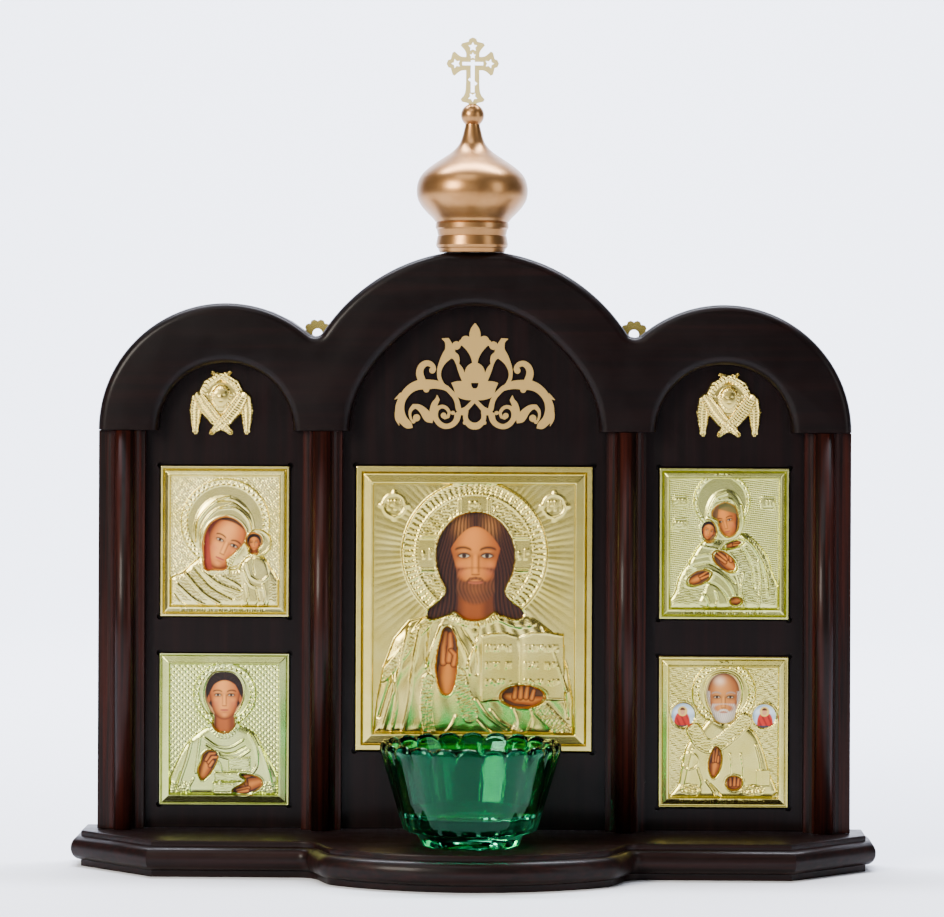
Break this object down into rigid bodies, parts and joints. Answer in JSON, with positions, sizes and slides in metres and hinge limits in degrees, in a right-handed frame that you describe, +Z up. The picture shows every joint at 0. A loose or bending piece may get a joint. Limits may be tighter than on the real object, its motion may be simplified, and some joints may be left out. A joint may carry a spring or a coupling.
{
  "type": "standing icon case",
  "caption": "Standing triptych icon case with stamped icon covers under lobed arches, an onion dome with a cut cross, and a pressed glass votive cup on its bowed base.",
  "frame": {"origin": "middle of the whole part's bounding box, on the floor under the base", "axes": "+X to the right as the case is looked at, -Y out of its front, +Z up"},
  "size_m": [0.372, 0.1244, 0.3851],
  "materials": {
    "lacquered_wood": "dark mahogany gloss lacquer",
    "gold_paint": "turned wood with satin gold paint",
    "brass": "polished sheet",
    "gold_foil": "stamped gold foil",
    "printed_card": "printed, satin",
    "green_glass": "clear pressed emerald glass",
    "screw_steel": "plain"
  },
  "bodies": {
    "root": {"base": "lacquered_wood", "back_panel": "lacquered_wood", "arch_board": "lacquered_wood", "upright_1": "lacquered_wood", "upright_2": "lacquered_wood", "upright_3": "lacquered_wood", "upright_4": "lacquered_wood", "icon_centre_card": "printed_card", "icon_centre_cover": "gold_foil", "icon_upper_left_card": "printed_card", "icon_upper_left_cover": "gold_foil", "icon_lower_left_card": "printed_card", "icon_lower_left_cover": "gold_foil", "icon_upper_right_card": "printed_card", "icon_upper_right_cover": "gold_foil", "icon_lower_right_card": "printed_card", "icon_lower_right_cover": "gold_foil", "scroll_ornament": "brass", "seraph_left": "brass", "seraph_right": "brass", "hanger_left": "brass", "hanger_right": "brass", "hanger_screw_left": "screw_steel", "hanger_screw_right": "screw_steel", "dome": "gold_paint", "cross": "brass", "glass_cup": "green_glass"}
  },
  "joints": []
}
